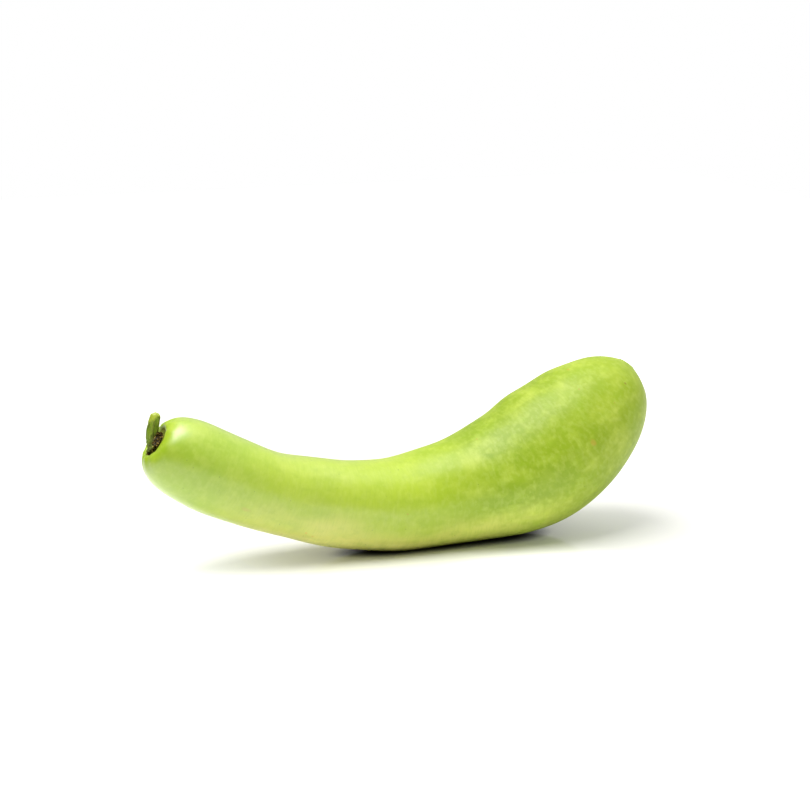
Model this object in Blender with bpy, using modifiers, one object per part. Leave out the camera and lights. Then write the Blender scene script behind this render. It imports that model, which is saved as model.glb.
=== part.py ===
"""Bottle gourd: one curved fruit that lies on its belly, and the stub of its stem.

Each piece is turned from a profile on a straight axis and then bent along a middle line in the
XZ plane. +X runs from the stem end to the blossom end, +Y is across the fruit and +Z is up.
The origin is the middle of the small flat spot that the fruit lies on.
"""

import math

import bmesh
import bpy

MM = 0.001

# Fruit: its profile as (distance along the middle line, radius), from the floor of the stem's
# hollow, over the shoulder, down the neck and the belly, to the small scar at the blossom end.
FRUIT_LENGTH = 369.4 * MM
NECK_RADIUS = 26.3 * MM
BELLY_RADIUS = 45.7 * MM
HOLLOW_DEPTH = 3 * MM
HOLLOW_RADIUS = 9 * MM
SCAR_DEPTH = 1 * MM
FRUIT_PROFILE = (
    (HOLLOW_DEPTH, 0),
    (HOLLOW_DEPTH - 0.2 * MM, HOLLOW_RADIUS),
    (0.7 * MM, HOLLOW_RADIUS + 2.2 * MM),
    (0.6 * MM, HOLLOW_RADIUS + 4.2 * MM),
    (6 * MM, 19.6 * MM),
    (22 * MM, NECK_RADIUS - 1.4 * MM),
    (90 * MM, NECK_RADIUS),
    (150 * MM, 29.5 * MM),
    (205 * MM, 33.6 * MM),
    (255 * MM, 41.9 * MM),
    (290 * MM, BELLY_RADIUS),
    (FRUIT_LENGTH - 36 * MM, 37.6 * MM),
    (FRUIT_LENGTH - 11 * MM, 23.4 * MM),
    (FRUIT_LENGTH - 0.5 * MM, 5.5 * MM),
    (FRUIT_LENGTH - SCAR_DEPTH, 0),
)

# Middle line of the fruit: how steeply it climbs, in degrees, at every 60 mm from the stem end.
# It starts where the belly reaches 1.6 mm below the ground, which cuts the flat spot.
FRUIT_START = (-193.7 * MM, 88.1 * MM)
FRUIT_HEADING_EVERY = 60 * MM
FRUIT_HEADINGS = (-36.5, -24.7, -13.9, 1.5, 13, 34.3, 52)

# Lean of the stem end's face: how far one side of it stands out, for each unit across.
END_LEAN = 0.13
FRUIT_LEAN_FADE = (4 * MM, 34 * MM)

# Slow swells of the skin: (height, waves along the fruit, waves round it, phase in degrees).
SWELLS = (
    (0.35 * MM, 3.5, 1, 40),
    (0.30 * MM, 5.0, 2, 200),
    (0.40 * MM, 1.0, 3, 90),
    (0.18 * MM, 8.0, 3, 310),
)
SWELL_FADE = (12 * MM, 48 * MM)

# Stem: a five-ribbed stub with a flared foot in the hollow, which bends up to a rounded tip.
STEM_LENGTH = 19.5 * MM
STEM_RADIUS = 3.5 * MM
FOOT_RADIUS = HOLLOW_RADIUS - 0.6 * MM
STEM_PROFILE = (
    (0, 0),
    (0, FOOT_RADIUS - 0.8 * MM),
    (0.7 * MM, FOOT_RADIUS),
    (1.6 * MM, FOOT_RADIUS - 2.2 * MM),
    (3.4 * MM, STEM_RADIUS + 1.1 * MM),
    (7 * MM, STEM_RADIUS + 0.2 * MM),
    (12 * MM, STEM_RADIUS - 0.1 * MM),
    (16.6 * MM, STEM_RADIUS - 0.4 * MM),
    (STEM_LENGTH - 1.2 * MM, STEM_RADIUS - 1.4 * MM),
    (STEM_LENGTH, 0),
)
STEM_HEADING_EVERY = 3 * MM
STEM_HEADINGS = (143, 118, 90, 80, 78, 79, 80, 81)
STEM_LEAN_FADE = (1 * MM, 6 * MM)
STEM_GAP = 0.4 * MM
RIBS = 5
RIB_HEIGHT = 0.3 * MM
RIB_FADE = (0.5 * MM, 5 * MM)

FRUIT_SIDES = 48
FRUIT_RING_SPACING = 6.5 * MM
STEM_SIDES = 30
STEM_RING_SPACING = 1.4 * MM
LINE_STEP = 0.5 * MM
MERGE = 0.01 * MM


def ease(value, span):
    """0 before the span, 1 past it and smooth between."""
    share = min(max((value - span[0]) / (span[1] - span[0]), 0), 1)
    return share * share * (3 - 2 * share)


def spline_value(knots, values, t):
    """One coordinate of a Catmull-Rom curve with uneven knots, between its two middle values."""
    k0, k1, k2, k3 = knots
    v0, v1, v2, v3 = values
    a1 = ((k1 - t) * v0 + (t - k0) * v1) / (k1 - k0)
    a2 = ((k2 - t) * v1 + (t - k1) * v2) / (k2 - k1)
    a3 = ((k3 - t) * v2 + (t - k2) * v3) / (k3 - k2)
    b1 = ((k2 - t) * a1 + (t - k0) * a2) / (k2 - k0)
    b2 = ((k3 - t) * a2 + (t - k1) * a3) / (k3 - k1)
    return ((k2 - t) * b1 + (t - k1) * b2) / (k2 - k1)


def through(points, spacing):
    """Points along a smooth curve through a profile, which meets the axis squarely at both ends."""
    before = (points[1][0], -points[1][1])
    after = (points[-2][0], -points[-2][1])
    path = [before, *points, after]
    made = []
    for p0, p1, p2, p3 in zip(path, path[1:], path[2:], path[3:]):
        knots = [0.0]
        for a, b in ((p0, p1), (p1, p2), (p2, p3)):
            knots.append(knots[-1] + math.sqrt(math.dist(a, b)))
        steps = max(2, round(math.dist(p1, p2) / spacing))
        for step in range(steps):
            t = knots[1] + (knots[2] - knots[1]) * step / steps
            made.append([spline_value(knots, values, t) for values in zip(p0, p1, p2, p3)])
    made.append(list(points[-1]))
    return made


def heading_at(headings, every, along):
    """How steeply a middle line climbs at a distance along it, in radians."""
    last = len(headings) - 1
    place = min(max(along / every, 0), last)
    first = min(int(place), last - 1)
    values = [headings[min(max(first + i, 0), last)] for i in (-1, 0, 1, 2)]
    return math.radians(spline_value((-1, 0, 1, 2), values, place - first))


def middle_line(start, headings, every, length):
    """The points (x, z) of a middle line, LINE_STEP apart."""
    x, z = start
    line = [(x, z)]
    for i in range(math.ceil(length / LINE_STEP)):
        heading = heading_at(headings, every, (i + 0.5) * LINE_STEP)
        x += LINE_STEP * math.cos(heading)
        z += LINE_STEP * math.sin(heading)
        line.append((x, z))
    return line


def on_line(line, along):
    """The point at a distance along a middle line, which runs straight on past its ends."""
    place = along / LINE_STEP
    i = min(max(int(place), 0), len(line) - 2)
    (x0, z0), (x1, z1) = line[i], line[i + 1]
    return x0 + (x1 - x0) * (place - i), z0 + (z1 - z0) * (place - i)


def turned(name, profile, sides):
    """A mesh turned from a profile: its axis runs down -Z and its radius starts along +X."""
    outline = bpy.data.meshes.new(name)
    points = [(radius, 0, -along) for along, radius in profile]
    outline.from_pydata(points, [(i, i + 1) for i in range(len(points) - 1)], [])
    blank = bpy.data.objects.new(name, outline)
    bpy.context.scene.collection.objects.link(blank)
    screw = blank.modifiers.new("Turn", "SCREW")
    screw.axis = "Z"
    screw.steps = sides
    screw.render_steps = sides
    screw.use_merge_vertices = True
    screw.merge_threshold = MERGE
    screw.use_smooth_shade = True
    mesh = bpy.data.meshes.new_from_object(blank.evaluated_get(bpy.context.evaluated_depsgraph_get()))
    bpy.data.objects.remove(blank)
    bpy.data.meshes.remove(outline)
    mesh.name = name
    return mesh


def bend(mesh, line, heading, relief, lean):
    """Bends a turned mesh along a middle line.

    heading(along) is how steeply the line climbs, relief(along, angle, radius) is added to the
    radius, and lean(along) shifts points along the line for each unit that they lie across it.
    """
    work = bmesh.new()
    work.from_mesh(mesh)
    for vertex in work.verts:
        along = -vertex.co.z
        angle = math.atan2(vertex.co.y, vertex.co.x)
        radius = math.hypot(vertex.co.x, vertex.co.y)
        radius += relief(along, angle, radius)
        across = radius * math.sin(angle)
        above = radius * math.cos(angle)
        along += lean(along) * across
        x, z = on_line(line, along)
        climb = heading(along)
        vertex.co = (x - above * math.sin(climb), across, z + above * math.cos(climb))
    bmesh.ops.remove_doubles(work, verts=work.verts, dist=MERGE)
    work.to_mesh(mesh)
    work.free()


def fruit_relief(along, angle, radius):
    """The slow swells of the skin, which fade out towards both ends."""
    turn = math.tau * along / FRUIT_LENGTH
    height = sum(
        size * math.sin(waves * turn + waves_round * angle + math.radians(phase))
        for size, waves, waves_round, phase in SWELLS
    )
    return height * ease(along, SWELL_FADE) * ease(FRUIT_LENGTH - along, SWELL_FADE)


def stem_relief(along, angle, radius):
    """The ribs, which rise out of the foot and run together on the tip."""
    strength = min(1, radius / STEM_RADIUS) * (0.4 + 0.6 * ease(along, RIB_FADE))
    return RIB_HEIGHT * strength * math.cos(RIBS * angle)


def add_piece(name, mesh, collection, colour, roughness):
    """An object with a Principled material of one colour, given as linear red, green and blue."""
    material = bpy.data.materials.new(name + "_surface")
    material.use_nodes = True
    material.diffuse_color = (*colour, 1)
    shader = material.node_tree.nodes["Principled BSDF"]
    shader.inputs["Base Color"].default_value = (*colour, 1)
    shader.inputs["Roughness"].default_value = roughness
    shader.inputs["Metallic"].default_value = 0
    mesh.materials.append(material)
    piece = bpy.data.objects.new(name, mesh)
    collection.objects.link(piece)
    return piece


def make_collection(name):
    """A new collection in the scene."""
    collection = bpy.data.collections.new(name)
    bpy.context.scene.collection.children.link(collection)
    return collection


def make_ground_cutter(collection):
    """A block whose top is the ground, which cuts the flat spot."""
    size = 120 * MM
    bpy.ops.mesh.primitive_cube_add(size=size, location=(0, 0, -size / 2))
    cutter = bpy.context.object
    cutter.name = "ground_cutter"
    cutter.hide_render = True
    cutter.display_type = "WIRE"
    for owner in list(cutter.users_collection):
        owner.objects.unlink(cutter)
    collection.objects.link(cutter)
    return cutter


def make_fruit(collection, cutter, line):
    """The fruit, with its flat spot cut level with the ground."""

    def heading(along):
        return heading_at(FRUIT_HEADINGS, FRUIT_HEADING_EVERY, along)

    def lean(along):
        return END_LEAN * (1 - ease(along, FRUIT_LEAN_FADE))

    mesh = turned("fruit", through(FRUIT_PROFILE, FRUIT_RING_SPACING), FRUIT_SIDES)
    bend(mesh, line, heading, fruit_relief, lean)
    fruit = add_piece("fruit", mesh, collection, (0.36, 0.56, 0.06), 0.35)
    flat = fruit.modifiers.new("Flat spot", "BOOLEAN")
    flat.operation = "DIFFERENCE"
    flat.solver = "EXACT"
    flat.object = cutter


def make_stem(collection, fruit_line):
    """The stem stub, whose foot stands just clear of the hollow's floor and leans with it."""
    line = middle_line(
        on_line(fruit_line, HOLLOW_DEPTH - 0.2 * MM - STEM_GAP),
        STEM_HEADINGS,
        STEM_HEADING_EVERY,
        STEM_LENGTH,
    )

    def heading(along):
        return heading_at(STEM_HEADINGS, STEM_HEADING_EVERY, along)

    def lean(along):
        return -END_LEAN * (1 - ease(along, STEM_LEAN_FADE))

    mesh = turned("stem", through(STEM_PROFILE, STEM_RING_SPACING), STEM_SIDES)
    bend(mesh, line, heading, stem_relief, lean)
    add_piece("stem", mesh, collection, (0.13, 0.19, 0.025), 0.6)


def main():
    """Builds the gourd."""
    for old in list(bpy.data.objects):
        bpy.data.objects.remove(old)
    gourd = make_collection("bottle_gourd")
    cutter = make_ground_cutter(make_collection("cutters"))
    line = middle_line(FRUIT_START, FRUIT_HEADINGS, FRUIT_HEADING_EVERY, FRUIT_LENGTH)
    make_fruit(gourd, cutter, line)
    make_stem(gourd, line)


main()
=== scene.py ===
import math
import random

import bmesh
import bpy
from mathutils import Matrix, Vector, noise


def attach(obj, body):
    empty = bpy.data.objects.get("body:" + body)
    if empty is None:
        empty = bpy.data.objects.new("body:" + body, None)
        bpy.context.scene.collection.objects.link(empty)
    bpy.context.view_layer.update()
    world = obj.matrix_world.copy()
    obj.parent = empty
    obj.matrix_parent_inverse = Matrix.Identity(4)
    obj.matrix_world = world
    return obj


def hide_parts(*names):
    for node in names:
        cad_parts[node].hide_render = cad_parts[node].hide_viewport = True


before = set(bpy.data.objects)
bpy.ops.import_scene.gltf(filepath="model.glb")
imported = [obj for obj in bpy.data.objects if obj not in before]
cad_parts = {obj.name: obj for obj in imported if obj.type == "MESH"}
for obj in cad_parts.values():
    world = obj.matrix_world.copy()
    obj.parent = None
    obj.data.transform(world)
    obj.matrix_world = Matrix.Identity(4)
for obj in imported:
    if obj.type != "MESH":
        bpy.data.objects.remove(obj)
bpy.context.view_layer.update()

MM = 0.001


# The fruit, a fresh bottle gourd: one grown body with a slim curved neck and a swollen belly.
# It is turned round a straight axis from its profile and bent along its middle line, and lies on
# a small flat spot. The stalk's hollow is at one end and the scar of the blossom at the other.

FRUIT_LENGTH = 369.4 * MM
NECK_RADIUS = 26.3 * MM
BELLY_RADIUS = 45.7 * MM
HOLLOW_DEPTH = 3 * MM
HOLLOW_CORNER_RISE = 0.2 * MM
HOLLOW_RADIUS = 9 * MM
SCAR_RADIUS = 5.5 * MM

# The outline from end to end: how far along the axis each point is and how far from it.
FRUIT_PROFILE = (
    (HOLLOW_DEPTH, 0),
    (HOLLOW_DEPTH - HOLLOW_CORNER_RISE, HOLLOW_RADIUS),
    (0.7 * MM, HOLLOW_RADIUS + 2.2 * MM),
    (0.6 * MM, HOLLOW_RADIUS + 4.2 * MM),
    (6 * MM, 19.8 * MM),
    (20 * MM, NECK_RADIUS - 1.0 * MM),
    (90 * MM, NECK_RADIUS),
    (150 * MM, 29.5 * MM),
    (205 * MM, 33.6 * MM),
    (255 * MM, 41.9 * MM),
    (290 * MM, BELLY_RADIUS),
    (FRUIT_LENGTH - 36 * MM, 37.6 * MM),
    (FRUIT_LENGTH - 11 * MM, 23.4 * MM),
    (FRUIT_LENGTH - 0.5 * MM, SCAR_RADIUS),
    (FRUIT_LENGTH - 1 * MM, 0),
)

# The middle line's start in X and Z, and how steeply it climbs at even steps along it, in degrees.
FRUIT_START = (-193.7 * MM, 88.1 * MM)
FRUIT_HEADING_EVERY = 60 * MM
FRUIT_HEADINGS = (-36.5, -24.7, -13.9, 1.5, 13, 34.3, 52)

# The stem end's face leans to one side, by this share of the distance across it.
END_LEAN = 0.13
FRUIT_LEAN_FADE = (4 * MM, 34 * MM)

# The relief of the rind. A swell has its height, its waves along the fruit and round it, and the
# phase in degrees. A start or a fade has the two places between which it comes about.
SWELLS = (
    (0.35 * MM, 3.5, 1, 40),
    (0.30 * MM, 5.0, 2, 200),
    (0.40 * MM, 1.0, 3, 90),
    (0.18 * MM, 8.0, 3, 310),
)
SWELL_FADE = (12 * MM, 48 * MM)
DENT_HEIGHT = 0.22 * MM
DENT_SIZE = (34 * MM, 15 * MM)
PLEATS = 11
PLEAT_WAVER = 1.4
PLEAT_HEIGHT = 0.16 * MM
PLEAT_START = (HOLLOW_RADIUS, HOLLOW_RADIUS + 2 * MM)
PLEAT_FADE = (2 * MM, 15 * MM)
LIP_DIP = 2.2 * MM
LIP_DIP_POINTEDNESS = 1.3
LIP_DIP_START = (HOLLOW_RADIUS - 2 * MM, HOLLOW_RADIUS)
LIP_DIP_FADE = (HOLLOW_RADIUS + 2 * MM, HOLLOW_RADIUS + 12 * MM)
SCAR_RIM = 0.35 * MM
SCAR_RIM_WIDTH = 0.9 * MM
SCAR_GRAIN = 0.3 * MM
SCAR_GRAIN_SIZE = 1.1 * MM
SCAR_GRAIN_FADE = (SCAR_RADIUS - 1 * MM, SCAR_RADIUS + 1.5 * MM)
PRESSED_EDGE = 0.35 * MM
FRUIT_SIDES = 200
FRUIT_RING_SPACING = 1.5 * MM
LINE_STEP = 0.5 * MM


def ease(value, span):
    """0 before the span, 1 past it and smooth between."""
    share = min(max((value - span[0]) / (span[1] - span[0]), 0), 1)
    return share * share * (3 - 2 * share)


def spline_value(knots, values, t):
    """One coordinate of a Catmull-Rom curve with uneven knots, between its two middle values."""
    k0, k1, k2, k3 = knots
    v0, v1, v2, v3 = values
    a1 = ((k1 - t) * v0 + (t - k0) * v1) / (k1 - k0)
    a2 = ((k2 - t) * v1 + (t - k1) * v2) / (k2 - k1)
    a3 = ((k3 - t) * v2 + (t - k2) * v3) / (k3 - k2)
    b1 = ((k2 - t) * a1 + (t - k0) * a2) / (k2 - k0)
    b2 = ((k3 - t) * a2 + (t - k1) * a3) / (k3 - k1)
    return ((k2 - t) * b1 + (t - k1) * b2) / (k2 - k1)


def through(points, spacing, least=6):
    """Points along a smooth curve through a profile, which meets the axis squarely at both ends.
    It takes at least so many steps from one of the profile's points to the next."""
    path = [(points[1][0], -points[1][1]), *points, (points[-2][0], -points[-2][1])]
    made = []
    for p0, p1, p2, p3 in zip(path, path[1:], path[2:], path[3:]):
        knots = [0.0]
        for a, b in ((p0, p1), (p1, p2), (p2, p3)):
            knots.append(knots[-1] + math.sqrt(math.dist(a, b)))
        steps = max(least, round(math.dist(p1, p2) / spacing))
        for step in range(steps):
            t = knots[1] + (knots[2] - knots[1]) * step / steps
            made.append([spline_value(knots, values, t) for values in zip(p0, p1, p2, p3)])
    made.append(list(points[-1]))
    return made


def heading_at(headings, every, along):
    """How steeply a middle line climbs at a distance along it, in radians."""
    last = len(headings) - 1
    place = min(max(along / every, 0), last)
    first = min(int(place), last - 1)
    values = [headings[min(max(first + i, 0), last)] for i in (-1, 0, 1, 2)]
    return math.radians(spline_value((-1, 0, 1, 2), values, place - first))


def middle_line(start, headings, every, length):
    """The points (x, z) of a middle line, LINE_STEP apart."""
    x, z = start
    line = [(x, z)]
    for i in range(math.ceil(length / LINE_STEP)):
        heading = heading_at(headings, every, (i + 0.5) * LINE_STEP)
        x += LINE_STEP * math.cos(heading)
        z += LINE_STEP * math.sin(heading)
        line.append((x, z))
    return line


def on_line(line, along):
    """The point at a distance along a middle line, which runs straight on past its ends."""
    place = along / LINE_STEP
    i = min(max(int(place), 0), len(line) - 2)
    (x0, z0), (x1, z1) = line[i], line[i + 1]
    return x0 + (x1 - x0) * (place - i), z0 + (z1 - z0) * (place - i)


def turned(profile, sides):
    """A closed skin spun from (along, radius) points round a straight axis, which is X."""
    skin = bmesh.new()
    outline = [skin.verts.new((along, 0, radius)) for along, radius in profile]
    for a, b in zip(outline, outline[1:]):
        skin.edges.new((a, b))
    bmesh.ops.spin(
        skin, geom=skin.verts[:] + skin.edges[:], axis=(1, 0, 0), cent=(0, 0, 0),
        angle=math.tau, steps=sides, use_merge=True,
    )
    bmesh.ops.remove_doubles(skin, verts=skin.verts[:], dist=0.001 * MM)
    bmesh.ops.recalc_face_normals(skin, faces=skin.faces[:])
    return skin


def bend(skin, line, heading, shift):
    """Moves a straight skin's points by its relief and bends it along its middle line. The points
    keep where they were as "straight": along the axis, across it and above it."""
    straight = skin.verts.layers.float_vector.new("straight")
    for vertex in skin.verts:
        along, across, above = vertex.co
        vertex[straight] = vertex.co
        angle = math.atan2(across, above)
        radius = math.hypot(across, above)
        further, out = shift(along, angle, radius)
        across = (radius + out) * math.sin(angle)
        above = (radius + out) * math.cos(angle)
        x, z = on_line(line, along + further)
        climb = heading(along + further)
        vertex.co = (x - above * math.sin(climb), across, z + above * math.cos(climb))


def finish_piece(name, skin, material):
    """A smooth-shaded object made from a bmesh, which rides on the one body."""
    mesh = bpy.data.meshes.new(name)
    skin.to_mesh(mesh)
    skin.free()
    mesh.shade_smooth()
    mesh.materials.append(material)
    piece = bpy.data.objects.new(name, mesh)
    bpy.context.scene.collection.objects.link(piece)
    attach(piece, "root")
    return piece


def linear(hex_colour):
    """An sRGB hex colour as linear red, green, blue and alpha."""
    values = [int(hex_colour[i:i + 2], 16) / 255 for i in (1, 3, 5)]
    return [v / 12.92 if v <= 0.04045 else ((v + 0.055) / 1.055) ** 2.4 for v in values] + [1]


def put(tree, kind, inputs, **settings):
    """Adds a shader node with its settings. Its inputs, by name or place, take values, other
    nodes' outputs, or other nodes, which give their first output."""
    node = tree.nodes.new("ShaderNode" + kind)
    for name, value in settings.items():
        setattr(node, name, value)
    sockets = [socket for socket in node.inputs if socket.enabled]
    for key, value in inputs.items():
        socket = sockets[key] if isinstance(key, int) else next(s for s in sockets if s.name == key)
        if isinstance(value, bpy.types.Node):
            value = next(output for output in value.outputs if output.enabled)
        if isinstance(value, bpy.types.NodeSocket):
            tree.links.new(value, socket)
        else:
            socket.default_value = value
    return node


def new_material(name):
    """A material with an empty node tree."""
    material = bpy.data.materials.new(name)
    material.use_nodes = True
    material.node_tree.nodes.clear()
    return material, material.node_tree


def rind_shift(along, angle, radius):
    """The rind's relief: slow swells, shallow dents that break up the gloss, faint pleats round the
    hollow and a dip in its lip, the scar's rim and grain, and the lean of the stem end."""
    turn = math.tau * along / FRUIT_LENGTH
    out = sum(
        size * math.sin(waves * turn + waves_round * angle + math.radians(phase))
        for size, waves, waves_round, phase in SWELLS
    )
    across = radius * math.sin(angle)
    above = radius * math.cos(angle)
    place = Vector((along / DENT_SIZE[0], across / DENT_SIZE[1], above / DENT_SIZE[1]))
    out += DENT_HEIGHT * noise.noise(place)
    out *= ease(along, SWELL_FADE) * ease(FRUIT_LENGTH - along, SWELL_FADE)
    further = END_LEAN * (1 - ease(along, FRUIT_LEAN_FADE)) * (radius + out) * math.sin(angle)
    pleats = math.sin(PLEATS * angle + PLEAT_WAVER * math.sin(2 * angle))
    pleats *= ease(radius, PLEAT_START) * (1 - ease(along, PLEAT_FADE))
    further -= PLEAT_HEIGHT * pleats
    if along < FRUIT_LEAN_FADE[1]:
        beside = ease(radius, LIP_DIP_START) * (1 - ease(radius, LIP_DIP_FADE))
        further += LIP_DIP * beside * max(0, -math.sin(angle)) ** LIP_DIP_POINTEDNESS
    if FRUIT_LENGTH - along < 2 * SCAR_RADIUS and radius < 2 * SCAR_RADIUS:
        rim = math.exp(-((radius - SCAR_RADIUS) / SCAR_RIM_WIDTH) ** 2)
        grain = noise.noise(Vector((across, above, 0)) / SCAR_GRAIN_SIZE)
        inside = 1 - ease(radius, SCAR_GRAIN_FADE)
        further += SCAR_RIM * rim + SCAR_GRAIN * grain * inside
    return further, out


fruit_line = middle_line(FRUIT_START, FRUIT_HEADINGS, FRUIT_HEADING_EVERY, FRUIT_LENGTH)
fruit_skin = turned(through(FRUIT_PROFILE, FRUIT_RING_SPACING), FRUIT_SIDES)
bend(
    fruit_skin,
    fruit_line,
    lambda along: heading_at(FRUIT_HEADINGS, FRUIT_HEADING_EVERY, along),
    rind_shift,
)
for vertex in fruit_skin.verts:
    if vertex.co.z < -PRESSED_EDGE:
        vertex.co.z = 0
    elif vertex.co.z < PRESSED_EDGE:
        vertex.co.z = (vertex.co.z + PRESSED_EDGE) ** 2 / (4 * PRESSED_EDGE)

# Living rind: a thin green cuticle with a little wax over pale flesh, grown and not worked. It
# gives a satin gloss with soft highlights over a cloudy yellow-green, deeper green on the belly. Its
# low side is paler and yellower, partly where it grew in the shade and partly painted light bounced
# up from the floor, and a painted shadow band darkens the flank round its middle height. Faint
# streaks run round it, and it has dark green pits about half a millimetre wide and a few rust-brown
# specks and scuffs.
rind, nodes = new_material("waxy_gourd_rind")
straight = put(nodes, "Attribute", {}, attribute_name="straight").outputs["Vector"]
place = put(nodes, "SeparateXYZ", {0: straight})
colour = linear("#ADC52A")

# Wide changes of colour, whose edges wander by WANDER: the axis that each goes by, where it starts
# and is full, the places along the fruit where it is gone and whole again, how strong, and its hue.
# They are the green stem end, a painted shadow band round the flank's middle height, the pale side
# that grew in the shade, its yellowed strip next to the ground, the deep green belly, a lighter green
# towards the blossom end, and the pale low side where the neck swells into the belly. The three pale
# rows are only partly the skin's own colour: they are also painted light bounced up from the floor.
WANDER = 16 * MM
WANDER_PER_METRE = (25, 45, 45)
wander = put(nodes, "VectorMath", {0: straight, 1: WANDER_PER_METRE}, operation="MULTIPLY")
wander = put(nodes, "TexNoise", {"Vector": wander, "Scale": 1.0, "Detail": 3.0})
wander = put(nodes, "MapRange", {"Value": wander, "To Min": -WANDER, "To Max": WANDER})
BROAD_COLOURS_AND_PAINTED_LIGHT = (
    ("X", 95 * MM, 35 * MM, (), 0.75, "#94B51A"),
    # Painted shadow: a darker band round the flank's middle height.
    ("Z", 18 * MM, 5 * MM, ((130 * MM, 190 * MM), (330 * MM, 270 * MM)), 0.4, "#98B71A"),
    # Pale low side: partly grown in the shade, partly painted light bounced up from the floor. So are
    # the next row and the last.
    ("Z", 0 * MM, -21 * MM, ((30 * MM, 110 * MM), (320 * MM, 250 * MM)), 0.88, "#DAD86E"),
    ("Z", -17 * MM, -27 * MM, ((60 * MM, 120 * MM), (300 * MM, 240 * MM)), 0.85, "#F2F08A"),
    ("X", 175 * MM, 245 * MM, ((369 * MM, 310 * MM),), 0.85, "#7A980E"),
    ("X", 205 * MM, 300 * MM, (), 0.7, "#93AB18"),
    # Partly paler skin, partly painted light bounced up from the floor.
    ("Z", -4 * MM, -22 * MM, ((150 * MM, 195 * MM), (300 * MM, 225 * MM)), 0.55, "#D6DC6A"),
)
for side, start, full, limits, strength, hue in BROAD_COLOURS_AND_PAINTED_LIGHT:
    spot = put(nodes, "Math", {0: place.outputs[side], 1: wander}, operation="ADD")
    amount = put(
        nodes, "MapRange", {"Value": spot, "From Min": start, "From Max": full, "To Max": strength},
        interpolation_type="SMOOTHSTEP",
    )
    for none, all_of_it in limits:
        within = put(
            nodes, "MapRange", {"Value": place.outputs["X"], "From Min": none, "From Max": all_of_it},
            interpolation_type="SMOOTHSTEP",
        )
        amount = put(nodes, "Math", {0: amount, 1: within}, operation="MULTIPLY")
    colour = put(
        nodes, "Mix", {"Factor": amount, "A": colour, "B": linear(hue)}, data_type="RGBA",
    )

# Mottling, from clouds to fine streaks: its size along and round the fruit, where in the noise it
# starts and is full, how strong it is, and its hue. It is stronger on the belly than on the neck.
MOTTLING = (
    (34 * MM, 22 * MM, 0.48, 0.70, 0.55, "#C0D04E"),
    (26 * MM, 17 * MM, 0.50, 0.30, 0.50, "#97B31C"),
    (9 * MM, 6.5 * MM, 0.46, 0.72, 0.32, "#C2D350"),
    (8 * MM, 6 * MM, 0.50, 0.28, 0.36, "#90AE1C"),
    (3.0 * MM, 4.2 * MM, 0.42, 0.66, 0.17, "#D0DC70"),
    (1.0 * MM, 7 * MM, 0.55, 0.36, 0.17, "#8AAA1C"),
)
VIGOUR_CHANGES = (150 * MM, 250 * MM)
NECK_VIGOUR = 0.75
BELLY_VIGOUR = 1.05
MOTTLING_STEP = 3.7
vigour = put(
    nodes, "MapRange",
    {"Value": place.outputs["X"], "From Min": VIGOUR_CHANGES[0], "From Max": VIGOUR_CHANGES[1],
     "To Min": NECK_VIGOUR, "To Max": BELLY_VIGOUR},
)
layers = []
for seed, (size, size_round, start, full, strength, hue) in enumerate(MOTTLING):
    scaled = put(
        nodes, "VectorMath", {0: straight, 1: (1 / size, 1 / size_round, 1 / size_round)},
        operation="MULTIPLY",
    )
    cloud = put(
        nodes, "TexNoise",
        {"Vector": scaled, "W": MOTTLING_STEP * seed, "Scale": 1.0, "Detail": 4.0,
         "Roughness": 0.55},
        noise_dimensions="4D",
    )
    amount = put(
        nodes, "MapRange",
        {"Value": cloud, "From Min": start, "From Max": full, "To Max": strength},
        interpolation_type="SMOOTHSTEP",
    )
    amount = put(nodes, "Math", {0: amount, 1: vigour}, operation="MULTIPLY", use_clamp=True)
    colour = put(
        nodes, "Mix", {"Factor": amount, "A": colour, "B": linear(hue)}, data_type="RGBA",
    )
    layers.append(cloud)
small_clouds = layers[2]
fine_clouds = layers[4]
fine_streaks = layers[5]

# Pits and specks, each in a cell of its own and of a chance size: the cell's size along and round
# the fruit, the widest spot in cells, how strong, how deep in millimetres, and its hue. Chance
# takes up to SPOT_CHANCE times the widest off each, so that a third of the cells stay empty.
SPOT_CHANCE = 1.5
SPOT_CORE = 0.45
SPOTS = (
    (3.6 * MM, 4.6 * MM, 0.115, 0.85, 0.10, "#5E7C10"),
    (7.5 * MM, 10 * MM, 0.085, 0.70, 0.12, "#64801A"),
    (21 * MM, 15 * MM, 0.050, 0.80, 0.05, "#B88A2E"),
)
height = 0.0
for size, size_round, widest, strength, depth, hue in SPOTS:
    scaled = put(
        nodes, "VectorMath", {0: straight, 1: (1 / size, 1 / size_round, 1 / size_round)},
        operation="MULTIPLY",
    )
    cell = put(nodes, "TexVoronoi", {"Vector": scaled, "Scale": 1.0})
    chance = put(nodes, "SeparateXYZ", {0: cell.outputs["Color"]})
    edge = put(
        nodes, "Math", {0: chance, 1: SPOT_CHANCE * widest, 2: cell.outputs["Distance"]},
        operation="MULTIPLY_ADD",
    )
    amount = put(
        nodes, "MapRange",
        {"Value": edge, "From Min": widest, "From Max": SPOT_CORE * widest, "To Max": strength},
        interpolation_type="SMOOTHSTEP",
    )
    colour = put(
        nodes, "Mix", {"Factor": amount, "A": colour, "B": linear(hue)}, data_type="RGBA",
    )
    height = put(nodes, "Math", {0: amount, 1: -depth, 2: height}, operation="MULTIPLY_ADD")

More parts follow.
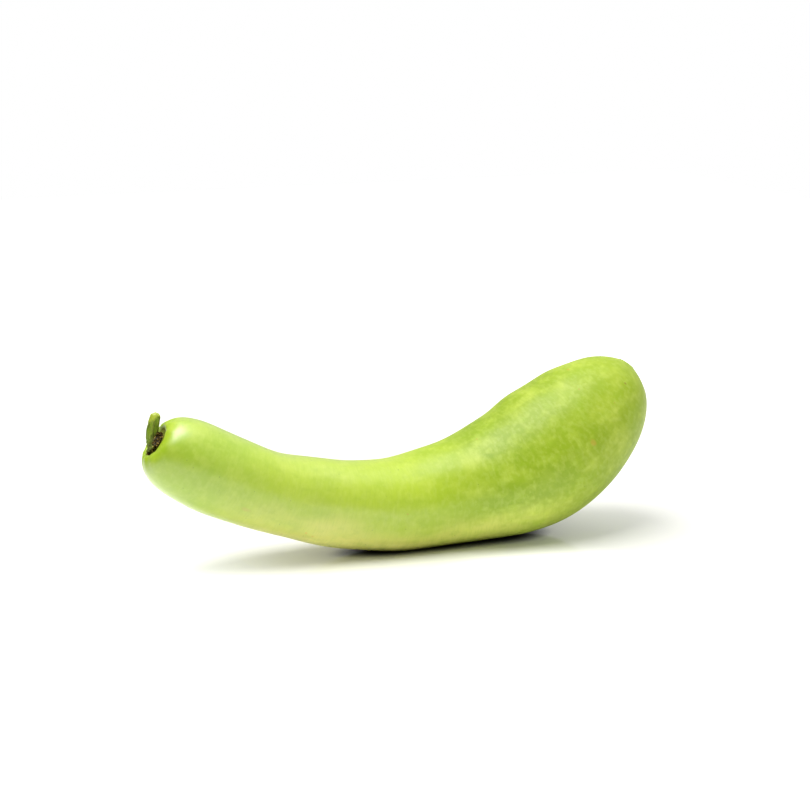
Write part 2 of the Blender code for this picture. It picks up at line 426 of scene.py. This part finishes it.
# Single blemishes: where on the straight fruit, the half sizes along, across and above, how strong,
# and the hue. They are a rust scratch, a green bruise, rust specks, a clouded scuff on the neck and
# a dark cloud on the belly. The fine clouds, whose middle value is a half, make their edges ragged.
BLEMISH_RAGGED = 1.2
BLEMISH_CORE = 0.4
BLEMISHES = (
    ((306 * MM, -43.8 * MM, 5.5 * MM), (2.6 * MM, 3 * MM, 3.2 * MM), 0.5, "#C09A38"),
    ((328 * MM, -31.9 * MM, -23 * MM), (2.6 * MM, 2.2 * MM, 2 * MM), 0.6, "#7D9A1A"),
    ((337.7 * MM, -4.5 * MM, 35.7 * MM), (1 * MM, 1.6 * MM, 2 * MM), 0.75, "#C2952F"),
    ((328.2 * MM, -24.1 * MM, 31 * MM), (1 * MM, 1 * MM, 1 * MM), 0.6, "#B98F30"),
    ((354.3 * MM, -26 * MM, 7.1 * MM), (0.9 * MM, 2.2 * MM, 1.4 * MM), 0.7, "#8C7C22"),
    ((96.2 * MM, -13.9 * MM, -22.6 * MM), (0.9 * MM, 1 * MM, 1 * MM), 0.7, "#C08A30"),
    ((108.4 * MM, -20.8 * MM, -17.4 * MM), (1 * MM, 1 * MM, 1 * MM), 0.6, "#D8B040"),
    ((113.5 * MM, -19.7 * MM, -19 * MM), (0.8 * MM, 0.8 * MM, 0.8 * MM), 0.6, "#C9A03A"),
    ((65.6 * MM, -23.2 * MM, -12.1 * MM), (4 * MM, 2 * MM, 2 * MM), 0.35, "#B5A040"),
    ((268 * MM, -41 * MM, -2 * MM), (26 * MM, 16 * MM, 16 * MM), 0.3, "#789512"),
)
for centre, halves, strength, hue in BLEMISHES:
    offset = put(nodes, "VectorMath", {0: straight, 1: centre}, operation="SUBTRACT")
    offset = put(
        nodes, "VectorMath", {0: offset, 1: [1 / half for half in halves]}, operation="MULTIPLY",
    )
    reach = put(nodes, "VectorMath", {0: offset}, operation="LENGTH")
    reach = put(
        nodes, "Math", {0: fine_clouds, 1: BLEMISH_RAGGED, 2: reach}, operation="MULTIPLY_ADD",
    )
    amount = put(
        nodes, "MapRange",
        {"Value": reach, "From Min": BLEMISH_RAGGED / 2 + 1,
         "From Max": BLEMISH_RAGGED / 2 + BLEMISH_CORE, "To Max": strength},
        interpolation_type="SMOOTHSTEP",
    )
    colour = put(
        nodes, "Mix", {"Factor": amount, "A": colour, "B": linear(hue)}, data_type="RGBA",
    )

# The cork of the blossom's scar and the stained floor of the hollow, both by their distance from
# the axis: the radius, how wide its edge fades, where along the fruit they start and are full, and
# their hues.
from_axis = put(nodes, "CombineXYZ", {"Y": place.outputs["Y"], "Z": place.outputs["Z"]})
from_axis = put(nodes, "VectorMath", {0: from_axis}, operation="LENGTH")
ENDS_RAGGED = 4 * MM
ragged = put(
    nodes, "Math", {0: fine_clouds, 1: ENDS_RAGGED, 2: from_axis}, operation="MULTIPLY_ADD",
)
cork = 0.0
ENDS = (
    (SCAR_RADIUS + 2.8 * MM, 4.5 * MM, FRUIT_LENGTH - 6 * MM, FRUIT_LENGTH - 4 * MM, "#8E7A3C"),
    (HOLLOW_RADIUS + 3.6 * MM, 1 * MM, 5 * MM, 3 * MM, "#7E8428"),
)
for radius, fade, start, full, hue in ENDS:
    amount = put(
        nodes, "MapRange", {"Value": ragged, "From Min": radius, "From Max": radius - fade},
        interpolation_type="SMOOTHSTEP",
    )
    end = put(
        nodes, "MapRange", {"Value": place.outputs["X"], "From Min": start, "From Max": full},
        interpolation_type="SMOOTHSTEP",
    )
    amount = put(nodes, "Math", {0: amount, 1: end}, operation="MULTIPLY")
    colour = put(
        nodes, "Mix", {"Factor": amount, "A": colour, "B": linear(hue)}, data_type="RGBA",
    )
    cork = put(nodes, "Math", {0: amount, 1: cork}, operation="MAXIMUM")

# Heights are in millimetres: the streaks and flecks stand a few hundredths proud.
STREAK_HEIGHT = 0.03
FLECK_HEIGHT = 0.05
height = put(
    nodes, "Math", {0: fine_streaks, 1: STREAK_HEIGHT, 2: height}, operation="MULTIPLY_ADD",
)
height = put(
    nodes, "Math", {0: fine_clouds, 1: FLECK_HEIGHT, 2: height}, operation="MULTIPLY_ADD",
)
bump = put(nodes, "Bump", {"Height": height, "Distance": MM, "Strength": 1.0})

# The wax is thick and glossy on the neck, and thin and dull from where the belly starts. It thins
# out at the hollow's lip too, and the cork is rough and has none.
NECK_END = 100 * MM
BELLY_START = 220 * MM
GLOSSIEST = 0.33
LEAST_GLOSSY = 0.40
DULLING = 0.14
BELLY_WAX = 0.15
LIP_START = 1 * MM
LIP_END = 7 * MM
LIP_WAX = 0.1
CORK_ROUGHENING = 0.6
gloss = put(
    nodes, "MapRange",
    {"Value": small_clouds, "From Min": 0.3, "From Max": 0.7,
     "To Min": GLOSSIEST, "To Max": LEAST_GLOSSY},
)
dull = put(
    nodes, "MapRange",
    {"Value": place.outputs["X"], "From Min": NECK_END, "From Max": BELLY_START, "To Max": DULLING},
    interpolation_type="SMOOTHSTEP",
)
gloss = put(nodes, "Math", {0: gloss, 1: dull}, operation="ADD")
gloss = put(nodes, "Math", {0: cork, 1: CORK_ROUGHENING, 2: gloss}, operation="MULTIPLY_ADD")
wax = put(
    nodes, "MapRange", {"Value": dull, "From Max": DULLING, "To Min": 1.0, "To Max": BELLY_WAX},
)
lip = put(
    nodes, "MapRange",
    {"Value": place.outputs["X"], "From Min": LIP_START, "From Max": LIP_END, "To Min": LIP_WAX},
)
wax = put(nodes, "Math", {0: wax, 1: lip}, operation="MULTIPLY")
bare = put(nodes, "Math", {0: 1.0, 1: cork}, operation="SUBTRACT")
wax = put(nodes, "Math", {0: wax, 1: bare}, operation="MULTIPLY")
shader = put(nodes, "BsdfPrincipled", {
    "Base Color": colour,
    "Roughness": gloss,
    "Specular IOR Level": 0.28,
    "Coat Weight": wax,
    "Coat IOR": 1.65,
    "Coat Roughness": 0.35,
    "Subsurface Weight": 0.1,
    "Subsurface Radius": (1.0, 1.2, 0.3),
    "Subsurface Scale": 2.5 * MM,
    "Normal": bump,
})
put(nodes, "OutputMaterial", {"Surface": shader})
fruit = finish_piece("fruit_skin", fruit_skin, rind)
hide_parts("fruit")


# The stalk's stub, about 7 mm thick: green and fibrous with five ribs, cut and healed over into a
# lumpy tip, and flared into a corky foot, where it grows out of the fruit.

STEM_LENGTH = 20 * MM
STEM_RADIUS = 3.5 * MM
FOOT_RADIUS = HOLLOW_RADIUS - 0.6 * MM

# The outline from foot to tip: how far along the axis each point is and how far from it.
STEM_PROFILE = (
    (0, 0),
    (0, FOOT_RADIUS - 0.8 * MM),
    (0.7 * MM, FOOT_RADIUS),
    (1.6 * MM, FOOT_RADIUS - 2.2 * MM),
    (3.4 * MM, STEM_RADIUS + 1.1 * MM),
    (7 * MM, STEM_RADIUS + 0.2 * MM),
    (12 * MM, STEM_RADIUS - 0.1 * MM),
    (16.6 * MM, STEM_RADIUS - 0.4 * MM),
    (STEM_LENGTH - 1.2 * MM, STEM_RADIUS - 1.4 * MM),
    (STEM_LENGTH, 0),
)

# How steeply its middle line climbs at even steps along it, in degrees, and the gap at its foot.
STEM_HEADING_EVERY = 3 * MM
STEM_HEADINGS = (143, 118, 90, 80, 77, 75, 75, 77)
STEM_LEAN_FADE = (1 * MM, 6 * MM)
STEM_GAP = 0.4 * MM

# The relief of the stalk. Where there are two sizes, they are along the stalk and round it. A fade
# has the places along it where it starts and ends, and the tip's lobes are turned by radians.
RIBS = 5
RIB_HEIGHT = 0.3 * MM
RIB_SHARE_AT_FOOT = 0.4
RIB_FADE = (0.5 * MM, 5 * MM)
FIBRE_HEIGHT = 0.16 * MM
FIBRE_SIZE = (7 * MM, 1.1 * MM)
LUMP_HEIGHT = 0.35 * MM
LUMP_SIZE = 2.4 * MM
TIP_LOBES = 3
TIP_TURN = 1
TIP_HEIGHT = 0.5 * MM
TIP_GRAIN_SIZE = 1.6 * MM
TIP_FADE = (15.5 * MM, 18.5 * MM)
FOOT_TUCK = 2.4 * MM
CORK_SLANT = 1.1
CORK_LEFT = 4 * MM
CRUST_HEIGHT = 0.9 * MM
CRUST_SHARE_ALONG = 0.6
CRUST_SHARE_OUT = 0.5
CRUST_SIZE = 1.2 * MM
CRUST_FADE = (3 * MM, 5.5 * MM)
STEM_SIDES = 140
STEM_RING_SPACING = 0.25 * MM


def stalk_shift(along, angle, radius):
    """The stalk's relief: ribs, fibres, lumps, the lobes of its healed tip and its crusty foot."""
    share = min(1, radius / STEM_RADIUS)
    across = radius * math.sin(angle)
    above = radius * math.cos(angle)
    fibres = Vector((along / FIBRE_SIZE[0], across / FIBRE_SIZE[1], above / FIBRE_SIZE[1]))
    here = Vector((along, across, above))
    ribs = RIB_SHARE_AT_FOOT + (1 - RIB_SHARE_AT_FOOT) * ease(along, RIB_FADE)
    out = RIB_HEIGHT * ribs * math.cos(RIBS * angle)
    out += FIBRE_HEIGHT * noise.noise(fibres) + LUMP_HEIGHT * noise.noise(here / LUMP_SIZE)
    tip = ease(along, TIP_FADE)
    out += TIP_HEIGHT * tip * math.cos(TIP_LOBES * angle + TIP_TURN)
    low = 1 - ease(along, CRUST_FADE)
    out -= FOOT_TUCK * low * max(0, -math.cos(angle)) * ease(radius, (STEM_RADIUS, FOOT_RADIUS))
    crust = CRUST_HEIGHT * low * noise.noise(here / CRUST_SIZE)
    further = -END_LEAN * (1 - ease(along, STEM_LEAN_FADE)) * across
    further += tip * TIP_HEIGHT * noise.noise(here / TIP_GRAIN_SIZE)
    further += CRUST_SHARE_ALONG * crust * share
    return further, (out + CRUST_SHARE_OUT * crust) * share


stem_line = middle_line(
    on_line(fruit_line, HOLLOW_DEPTH - HOLLOW_CORNER_RISE - STEM_GAP),
    STEM_HEADINGS, STEM_HEADING_EVERY, STEM_LENGTH,
)
stem_skin = turned(through(STEM_PROFILE, STEM_RING_SPACING), STEM_SIDES)
bend(
    stem_skin,
    stem_line,
    lambda along: heading_at(STEM_HEADINGS, STEM_HEADING_EVERY, along),
    stalk_shift,
)

# Green stalk: living skin over stiff fibres, grown, cut and healed. It is matt, with long streaks
# of olive and pale green, a yellow-green callus at the tip with a little shine, and a foot that
# has turned to dark brown cork with tan grains.
stalk_green, nodes = new_material("fibrous_green_stalk")
straight = put(nodes, "Attribute", {}, attribute_name="straight").outputs["Vector"]
along = put(nodes, "SeparateXYZ", {0: straight})
above = along.outputs["Z"]
colour = linear("#6E8A16")

# Streaks, from long to fine: their size along and round the stalk, where in the noise each starts
# and is full, how strong it is, and its hue.
STREAK_STEP = 5.3
STREAKS = (
    (9 * MM, 1.3 * MM, 0.50, 0.66, 0.70, "#93A634"),
    (7 * MM, 1.1 * MM, 0.50, 0.36, 0.80, "#454F0A"),
    (2.2 * MM, 1.6 * MM, 0.54, 0.70, 0.40, "#857628"),
    (0.7 * MM, 0.5 * MM, 0.52, 0.70, 0.30, "#B4BC5E"),
)
for seed, (size, size_round, start, full, strength, hue) in enumerate(STREAKS):
    scaled = put(
        nodes, "VectorMath", {0: straight, 1: (1 / size, 1 / size_round, 1 / size_round)},
        operation="MULTIPLY",
    )
    streak = put(
        nodes, "TexNoise",
        {"Vector": scaled, "W": STREAK_STEP * seed, "Scale": 1.0, "Detail": 3.0, "Roughness": 0.6},
        noise_dimensions="4D",
    )
    amount = put(
        nodes, "MapRange",
        {"Value": streak, "From Min": start, "From Max": full, "To Max": strength},
        interpolation_type="SMOOTHSTEP",
    )
    colour = put(
        nodes, "Mix", {"Factor": amount, "A": colour, "B": linear(hue)}, data_type="RGBA",
    )

# The callus, the darkening towards the foot and the cork: where each starts along the stalk and is
# full, how strong it is, and its hue. The darkening is partly browning and partly painted shade on
# the stalk's low side. The cork climbs higher on the side towards the fruit, and the darkening with
# it, and the grain of the last streaks, whose middle value is a half, makes the edges ragged.
STALK_RAGGED = 5 * MM
STALK_ENDS_AND_FOOT_SHADE = (
    (15.5 * MM, 18 * MM, 0.85, "#ABB93C"),
    # Partly browning, partly painted shade on the stalk's low side towards the fruit.
    (8.5 * MM, 5 * MM, 0.7, "#4A4810"),
    (5.2 * MM, 3.8 * MM, 0.96, "#241906"),
)
ragged = put(nodes, "Math", {0: streak, 1: STALK_RAGGED, 2: along}, operation="MULTIPLY_ADD")
leant = put(nodes, "Math", {0: above, 1: CORK_LEFT}, operation="MINIMUM")
ragged = put(nodes, "Math", {0: leant, 1: CORK_SLANT, 2: ragged}, operation="MULTIPLY_ADD")
ragged = put(nodes, "Math", {0: ragged, 1: STALK_RAGGED / 2}, operation="SUBTRACT")
for start, full, strength, hue in STALK_ENDS_AND_FOOT_SHADE:
    amount = put(
        nodes, "MapRange",
        {"Value": ragged, "From Min": start, "From Max": full, "To Max": strength},
        interpolation_type="SMOOTHSTEP",
    )
    colour = put(
        nodes, "Mix", {"Factor": amount, "A": colour, "B": linear(hue)}, data_type="RGBA",
    )

# Tan grains in the cork, which is the last of the three.
tan = put(
    nodes, "MapRange", {"Value": streak, "From Min": 0.60, "From Max": 0.66, "To Max": 0.7},
)
tan = put(nodes, "Math", {0: tan, 1: amount}, operation="MULTIPLY")
colour = put(
    nodes, "Mix", {"Factor": tan, "A": colour, "B": linear("#9A7A40")}, data_type="RGBA",
)
gloss = put(
    nodes, "MapRange",
    {"Value": ragged, "From Min": 14 * MM, "From Max": 18 * MM, "To Min": 0.55, "To Max": 0.3},
)
bump = put(nodes, "Bump", {"Height": streak, "Distance": 0.12 * MM, "Strength": 1.0})
shader = put(nodes, "BsdfPrincipled", {
    "Base Color": colour, "Roughness": gloss, "Specular IOR Level": 0.3, "Normal": bump,
})
put(nodes, "OutputMaterial", {"Surface": shader})
stalk = finish_piece("stalk", stem_skin, stalk_green)
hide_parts("stem")


# The crust in the hollow: dry grains of cork and dirt, mostly 0.4 to 1.2 mm wide, which have grown
# together round the stalk's foot. Each is a small lump sunk into the foot or the hollow's wall.

GRAINS_ON_FOOT = 420
GRAINS_ON_WALL = 130
GRAIN_RADIUS = (0.20 * MM, 0.62 * MM)
GRAIN_STRETCH = (0.7, 1.35)
GRAIN_UNEVENNESS = 0.2
GRAIN_REACH = 5 * MM
FOOT_FROM = 0.8 * STEM_RADIUS
WALL_FROM = HOLLOW_RADIUS - 3 * MM
WALL_TO = HOLLOW_RADIUS + 1 * MM
WALL_TOP = 5 * MM
SEED = 11
draw = random.Random(SEED)
crust = bmesh.new()
tint = crust.verts.layers.float.new("tint")


def add_grain(place):
    """One irregular grain at a point, with a tint between dark and tan."""
    grain_size = draw.uniform(*GRAIN_RADIUS)
    shape = Matrix.LocRotScale(
        place,
        Vector([draw.uniform(-1, 1) for _ in range(3)]).to_track_quat("Z", "Y"),
        Vector([grain_size * draw.uniform(*GRAIN_STRETCH) for _ in range(3)]),
    )
    made = bmesh.ops.create_icosphere(crust, subdivisions=1, radius=1, matrix=shape)
    shade = draw.random()
    for vertex in made["verts"]:
        vertex.co += (vertex.co - place) * draw.uniform(-GRAIN_UNEVENNESS, GRAIN_UNEVENNESS)
        vertex[tint] = shade


# The grains' places: the foot up to where its cork ends, and the hollow's wall beside and below it.
foot = []
for point, straight in zip(stalk.data.vertices, stalk.data.attributes["straight"].data):
    along, across, above = straight.vector
    slanted = along + CORK_SLANT * min(above, CORK_LEFT)
    if slanted < GRAIN_REACH and math.hypot(across, above) > FOOT_FROM:
        foot.append(point.co.copy())
wall = []
for point, straight in zip(fruit.data.vertices, fruit.data.attributes["straight"].data):
    along, across, above = straight.vector
    on_wall = WALL_FROM < math.hypot(across, above) < WALL_TO
    if along < HOLLOW_DEPTH and on_wall and above < WALL_TOP:
        wall.append(point.co.copy())
for spot in draw.sample(foot, GRAINS_ON_FOOT) + draw.sample(wall, GRAINS_ON_WALL):
    add_grain(spot)

# Cork and dirt, dried where it grew: matt and granular, from near black to tan, one hue for each
# grain, by its tint.
crust_brown, nodes = new_material("granular_cork_crust")
shade = put(nodes, "Attribute", {}, attribute_name="tint").outputs["Fac"]
GRAIN_HUES = (
    (0.0, "#221806"),
    (0.4, "#42320D"),
    (0.7, "#6A521C"),
    (0.88, "#A08444"),
    (1.0, "#CDB26A"),
)
colour = linear(GRAIN_HUES[0][1])
for (start, _), (full, hue) in zip(GRAIN_HUES, GRAIN_HUES[1:]):
    amount = put(nodes, "MapRange", {"Value": shade, "From Min": start, "From Max": full})
    colour = put(
        nodes, "Mix", {"Factor": amount, "A": colour, "B": linear(hue)}, data_type="RGBA",
    )
GRIT_SIZE = 0.3 * MM
here = put(nodes, "TexCoord", {}).outputs["Object"]
grit = put(nodes, "TexNoise", {"Vector": here, "Scale": 1 / GRIT_SIZE, "Detail": 2.0})
bump = put(nodes, "Bump", {"Height": grit, "Distance": 0.06 * MM, "Strength": 1.0})
shader = put(nodes, "BsdfPrincipled", {
    "Base Color": colour, "Roughness": 0.8, "Specular IOR Level": 0.1, "Normal": bump,
})
put(nodes, "OutputMaterial", {"Surface": shader})
finish_piece("foot_crust", crust, crust_brown)


# The studio: a glossy white sheet that ends in front of the object, in a white room that is
# darker to the left and below, with a softbox above the neck and a weaker panel above the belly.

SHEET_SIZE = 2.6
SHEET_FRONT = -0.6
sheet_mesh = bmesh.new()
bmesh.ops.create_grid(sheet_mesh, x_segments=1, y_segments=1, size=SHEET_SIZE / 2)
bmesh.ops.translate(sheet_mesh, verts=sheet_mesh.verts[:], vec=(0, SHEET_SIZE / 2 + SHEET_FRONT, 0))
sheet_data = bpy.data.meshes.new("white_sheet")
sheet_mesh.to_mesh(sheet_data)
sheet_mesh.free()
sheet = bpy.data.objects.new("white_sheet", sheet_data)
bpy.context.scene.collection.objects.link(sheet)

# White acrylic sheet, cast and polished, which gives soft mirror images. Its glow stands in for the
# white room's light on it: far from the object, so that the shadow stays dark, and on the patch in
# front that lights the fruit's underside. Each glow has a centre, the distances from it where it
# starts and is full, a strength, and whether it is for the camera only. The last two are: they
# lift the shadows in the picture and light nothing else.
SHEET_GLOWS = (
    ((0.06, 0.02, 0), 0.09, 0.30, 0.42, False),
    ((0.0, 0.0, 0), 0.3, 0.8, 0.5, False),
    ((0.03, -0.15, 0), 0.12, 0.05, 1.3, False),
    ((-0.22, -0.02, 0), 0.12, 0.04, 0.3, True),
    ((0.15, 0.08, 0), 0.18, 0.06, 0.20, True),
)
acrylic, nodes = new_material("white_acrylic_sheet")
here = put(nodes, "TexCoord", {}).outputs["Object"]
to_camera = put(nodes, "LightPath", {}).outputs["Is Camera Ray"]
glow = 0.0
for centre, start, full, strength, for_camera in SHEET_GLOWS:
    away = put(nodes, "VectorMath", {0: here, 1: centre}, operation="DISTANCE")
    amount = put(
        nodes, "MapRange", {"Value": away, "From Min": start, "From Max": full, "To Max": strength},
        interpolation_type="SMOOTHSTEP",
    )
    if for_camera:
        amount = put(nodes, "Math", {0: amount, 1: to_camera}, operation="MULTIPLY")
    glow = put(nodes, "Math", {0: amount, 1: glow}, operation="ADD")

# The sheet's colour is painted dark in the narrow gap under the fruit: a painted shadow where the
# gap keeps the light out, which also stands in for the dark underside that the sheet would mirror
# there. Its glow and its mirror are turned down in the gap too.
GAP_HEIGHT = 9 * MM
SHEET_MIRROR = 0.5
gap = put(nodes, "AmbientOcclusion", {"Distance": GAP_HEIGHT}, only_local=False)
unshaded_share = put(
    nodes, "MapRange", {"Value": gap.outputs["AO"], "From Min": 0.05, "From Max": 0.6},
    interpolation_type="SMOOTHSTEP",
)
# Painted shadow: the sheet's white turns dark in the gap.
white = put(
    nodes, "Mix", {"Factor": unshaded_share, "A": linear("#2A2812"), "B": linear("#F2F1EC")},
    data_type="RGBA",
)
mirror = put(nodes, "Math", {0: unshaded_share, 1: SHEET_MIRROR}, operation="MULTIPLY")
glow = put(nodes, "Math", {0: glow, 1: unshaded_share}, operation="MULTIPLY")
shader = put(nodes, "BsdfPrincipled", {
    "Base Color": white,
    "Roughness": 0.1,
    "IOR": 1.49,
    "Specular IOR Level": mirror,
    "Emission Color": (1, 1, 1, 1),
    "Emission Strength": glow,
})
put(nodes, "OutputMaterial", {"Surface": shader})
sheet_data.materials.append(acrylic)

# The room: white to the camera. The light that it gives the object grows upwards and to the right.
ROOM_TOWARDS = (0.79, 0.12, 0.60)
ROOM_RANGE = (-0.25, 1.0)
ROOM_LIGHT = (0.1, 0.8)
room = bpy.data.worlds.new("white_room")
bpy.context.scene.world = room
room.use_nodes = True
nodes = room.node_tree
nodes.nodes.clear()
direction = put(nodes, "TexCoord", {}).outputs["Generated"]
towards = put(nodes, "VectorMath", {0: direction, 1: ROOM_TOWARDS}, operation="DOT_PRODUCT")
strength = put(
    nodes, "MapRange",
    {"Value": towards, "From Min": ROOM_RANGE[0], "From Max": ROOM_RANGE[1],
     "To Min": ROOM_LIGHT[0], "To Max": ROOM_LIGHT[1]},
)
light = put(nodes, "Background", {"Color": (1, 1, 1, 1), "Strength": strength})
seen = put(nodes, "Background", {"Color": (1, 1, 1, 1), "Strength": 1.0})
to_camera = put(nodes, "LightPath", {}).outputs["Is Camera Ray"]
both = put(nodes, "MixShader", {0: to_camera, 1: light, 2: seen})
put(nodes, "OutputWorld", {"Surface": both})

# The lamps: name, place, the point that each faces, width and depth in metres, power in watts.
LAMPS = (
    ("softbox", (-0.25, -0.04, 0.92), (-0.10, 0, 0.05), 0.68, 0.68, 10.8),
    ("panel", (0.22, 0.10, 1.0), (0.02, 0, 0.05), 0.7, 0.6, 0.9),
)
for name, place, target, width, depth, power in LAMPS:
    lamp = bpy.data.lights.new(name, "AREA")
    lamp.shape = "RECTANGLE"
    lamp.size = width
    lamp.size_y = depth
    lamp.energy = power
    lamp_object = bpy.data.objects.new(name, lamp)
    lamp_object.location = place
    lamp_object.rotation_euler = (Vector(target) - Vector(place)).to_track_quat("-Z", "Y").to_euler()
    bpy.context.scene.collection.objects.link(lamp_object)

# The camera: a short telephoto that looks down a little, at the photograph's angle.
CAMERA_AIM = (-25.9 * MM, 0, 95.7 * MM)
CAMERA_AZIMUTH = math.radians(-22)
CAMERA_ELEVATION = math.radians(13)
CAMERA_DISTANCE = 1.243
CAMERA_LENS_MM = 85
CAMERA_SENSOR_MM = 36
camera_data = bpy.data.cameras.new("camera")
camera_data.lens = CAMERA_LENS_MM
camera_data.sensor_width = CAMERA_SENSOR_MM
camera = bpy.data.objects.new("camera", camera_data)
away = Vector((
    math.sin(CAMERA_AZIMUTH) * math.cos(CAMERA_ELEVATION),
    -math.cos(CAMERA_AZIMUTH) * math.cos(CAMERA_ELEVATION),
    math.sin(CAMERA_ELEVATION),
))
camera.location = Vector(CAMERA_AIM) + away * CAMERA_DISTANCE
camera.rotation_euler = (-away).to_track_quat("-Z", "Y").to_euler()
bpy.context.scene.collection.objects.link(camera)
bpy.context.scene.camera = camera
bpy.context.scene.view_settings.view_transform = "Standard"
